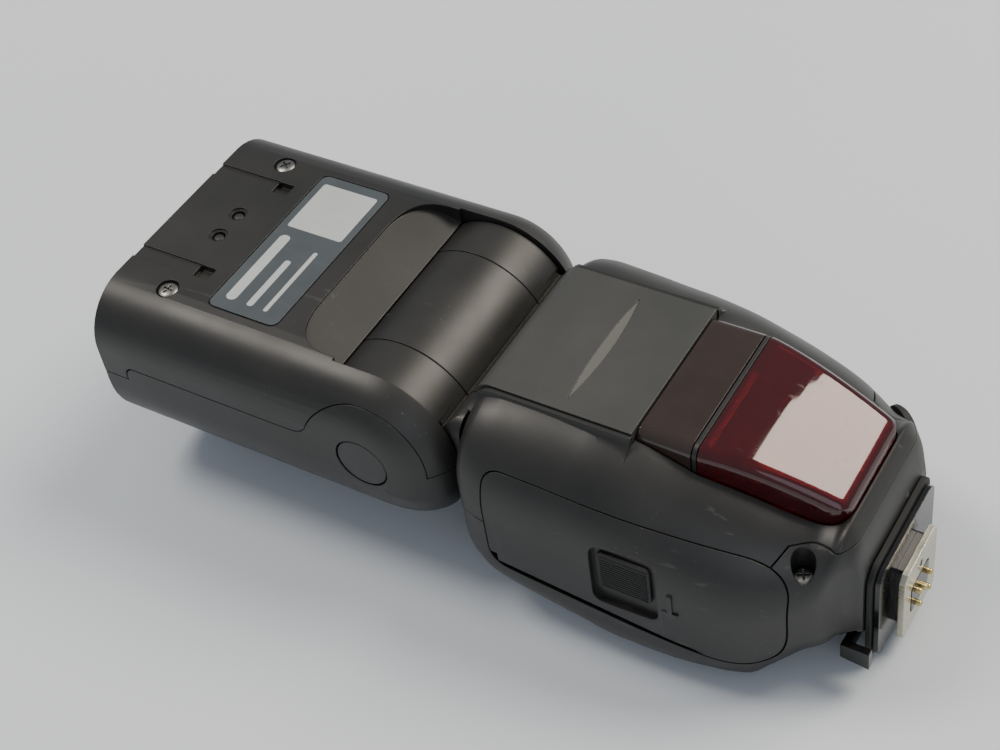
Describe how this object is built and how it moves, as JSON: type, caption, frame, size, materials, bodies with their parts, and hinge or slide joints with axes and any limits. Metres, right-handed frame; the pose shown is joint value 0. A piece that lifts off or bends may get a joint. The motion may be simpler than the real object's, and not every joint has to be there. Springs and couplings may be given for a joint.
{
  "type": "speedlight flash",
  "caption": "Shoe-mount camera flash lying on its back: battery body with foot and rear controls, swivelling neck, and a tilting head with lens, pull-out panels and zoom reflector.",
  "frame": {"origin": "on the surface it lies on, under the middle of its overall length and width", "axes": "+X from the flash lens towards the mounting foot, +Z out of the front of the body, which faces up; the battery door is on the -Y side"},
  "size_m": [0.201, 0.078, 0.058],
  "materials": {
    "shell_black": "fine-grained charcoal polycarbonate",
    "key_black": "smooth satin black",
    "trim_grey": "satin grey paint over plastic",
    "inner_plastic": "plain moulding",
    "rubber_black": "matt",
    "foot_gloss": "polished black",
    "window_smoke": "polished brown-black filter",
    "window_red": "polished deep red filter",
    "lamp_red": "clear red lens",
    "display_window": "polished, green-grey when off",
    "foot_nickel": "nickel plated, slightly warm",
    "contact_gilt": "gilded pins in black insulator",
    "screw_steel": "plain",
    "spring_plate": "nickel plated",
    "cell_can": "printed sleeve",
    "capacitor_sleeve": "shrink sleeve",
    "circuit_board": "solder mask",
    "label_grey": "plain printed label",
    "lens_clear": "ribbed clear acrylic",
    "reflector_bright": "bright metallised",
    "tube_glass": "clear",
    "card_white": "white"
  },
  "bodies": {
    "casing": {"body_front_shell": "shell_black", "body_rear_shell": "shell_black", "front_trim_panel": "trim_grey", "sensor_window": "window_smoke", "af_assist_window": "window_red", "af_lamp_near": "lamp_red", "af_lamp_far": "lamp_red", "battery_box": "inner_plastic", "battery_contacts": "spring_plate", "battery_cell_1": "cell_can", "battery_cell_2": "cell_can", "battery_cell_3": "cell_can", "battery_cell_4": "cell_can", "main_capacitor": "capacitor_sleeve", "main_board": "circuit_board", "control_board": "circuit_board", "lcd_window": "display_window", "shell_screw": "screw_steel", "foot_base": "foot_gloss", "foot_gasket": "rubber_black", "foot_plate": "foot_nickel", "contact_pins": "contact_gilt"},
    "neck": {"neck_core": "shell_black", "neck_cover_near": "shell_black", "neck_cover_far": "shell_black", "swivel_disc": "shell_black", "swivel_retainer": "screw_steel", "tilt_shaft": "screw_steel"},
    "head": {"head_label_shell": "shell_black", "head_cover_shell": "shell_black", "rating_label": "label_grey", "head_screw_1": "screw_steel", "head_screw_2": "screw_steel", "filter_sensor_pin_1": "key_black", "filter_sensor_pin_2": "key_black", "flash_lens": "lens_clear", "zoom_screw": "screw_steel", "pivot_cap": "key_black"},
    "zoom_carriage": {"reflector": "reflector_bright", "flash_tube": "tube_glass"},
    "tilt_lock": {"tilt_lock_button": "key_black"},
    "wide_panel": {"wide_panel": "lens_clear"},
    "catchlight_panel": {"catchlight_panel": "card_white"},
    "battery_door": {"battery_door": "shell_black"},
    "door_latch": {"door_latch": "rubber_black"},
    "lock_lever": {"lock_lever": "foot_gloss"},
    "locking_pin": {"locking_pin": "screw_steel"},
    "lock_release": {"lock_release_button": "trim_grey"},
    "select_dial": {"select_dial": "key_black"},
    "set_button": {"set_button": "trim_grey"},
    "power_switch": {"power_switch": "key_black"},
    "socket_cap": {"socket_cap": "rubber_black"},
    "function_button_1": {"function_button_1": "key_black"},
    "function_button_2": {"function_button_2": "key_black"},
    "function_button_3": {"function_button_3": "key_black"},
    "function_button_4": {"function_button_4": "key_black"},
    "mode_button": {"mode_button": "key_black"},
    "wireless_button": {"wireless_button": "key_black"},
    "test_button": {"test_button": "key_black"}
  },
  "joints": [
    {"name": "neck_swivel", "type": "hinge", "parent": "casing", "child": "neck", "pos_m": [0, 0, 0.033], "axis": [1, 0, 0], "range_deg": [-180, 180]},
    {"name": "head_tilt", "type": "hinge", "parent": "neck", "child": "head", "pos_m": [-0.022, 0, 0.0377], "axis": [0, 1, 0], "range_deg": [0, 97]},
    {"name": "tilt_lock_press", "type": "slide", "parent": "head", "child": "tilt_lock", "axis": [0, 1, 0], "range_m": [0, 0.0012], "stiffness_N_per_m": 400},
    {"name": "zoom_travel", "type": "slide", "parent": "head", "child": "zoom_carriage", "axis": [1, 0, 0], "range_m": [0, 0.016]},
    {"name": "wide_panel_pull", "type": "slide", "parent": "head", "child": "wide_panel", "axis": [-1, 0, 0], "range_m": [0, 0.04]},
    {"name": "catchlight_pull", "type": "slide", "parent": "head", "child": "catchlight_panel", "axis": [-1, 0, 0], "range_m": [0, 0.036]},
    {"name": "battery_door_swing", "type": "hinge", "parent": "casing", "child": "battery_door", "pos_m": [0.014, -0.0375, 0.02075], "axis": [0.9938, 0, -0.1114], "range_deg": [0, 85]},
    {"name": "door_latch_slide", "type": "slide", "parent": "battery_door", "child": "door_latch", "axis": [0, 0, -1], "range_m": [0, 0.003], "stiffness_N_per_m": 300},
    {"name": "lock_lever_turn", "type": "hinge", "parent": "casing", "child": "lock_lever", "pos_m": [0.09, 0, 0.0148], "axis": [1, 0, 0], "range_deg": [0, 30]},
    {"name": "locking_pin_slide", "type": "slide", "parent": "casing", "child": "locking_pin", "axis": [1, 0, 0], "range_m": [0, 0.0012]},
    {"name": "lock_release_press", "type": "slide", "parent": "casing", "child": "lock_release", "axis": [0, 0, 1], "range_m": [0, 0.0015], "stiffness_N_per_m": 400},
    {"name": "function_button_1_press", "type": "slide", "parent": "casing", "child": "function_button_1", "axis": [0, 0, 1], "range_m": [0, 0.0008], "stiffness_N_per_m": 300},
    {"name": "function_button_2_press", "type": "slide", "parent": "casing", "child": "function_button_2", "axis": [0, 0, 1], "range_m": [0, 0.0008], "stiffness_N_per_m": 300},
    {"name": "function_button_3_press", "type": "slide", "parent": "casing", "child": "function_button_3", "axis": [0, 0, 1], "range_m": [0, 0.0008], "stiffness_N_per_m": 300},
    {"name": "function_button_4_press", "type": "slide", "parent": "casing", "child": "function_button_4", "axis": [0, 0, 1], "range_m": [0, 0.0008], "stiffness_N_per_m": 300},
    {"name": "mode_button_press", "type": "slide", "parent": "casing", "child": "mode_button", "axis": [0, 0, 1], "range_m": [0, 0.0008], "stiffness_N_per_m": 300},
    {"name": "wireless_button_press", "type": "slide", "parent": "casing", "child": "wireless_button", "axis": [0, 0, 1], "range_m": [0, 0.0008], "stiffness_N_per_m": 300},
    {"name": "test_button_press", "type": "slide", "parent": "casing", "child": "test_button", "axis": [0, 0, 1], "range_m": [0, 0.0008], "stiffness_N_per_m": 300},
    {"name": "set_button_press", "type": "slide", "parent": "casing", "child": "set_button", "axis": [0, 0, 1], "range_m": [0, 0.0008], "stiffness_N_per_m": 300},
    {"name": "select_dial_turn", "type": "hinge", "parent": "casing", "child": "select_dial", "pos_m": [0.064, 0, 0.002], "axis": [0, 0, 1], "continuous": true},
    {"name": "power_switch_slide", "type": "slide", "parent": "casing", "child": "power_switch", "axis": [0, 1, 0], "range_m": [-0.003, 0.003]},
    {"name": "socket_cap_pull", "type": "slide", "parent": "casing", "child": "socket_cap", "axis": [0.5646, 0.8253, 0], "range_m": [0, 0.008]}
  ],
  "couplings": [
    {"joint": "locking_pin_slide", "follows": "lock_lever_turn", "m_per_rad": 0.00229}
  ]
}
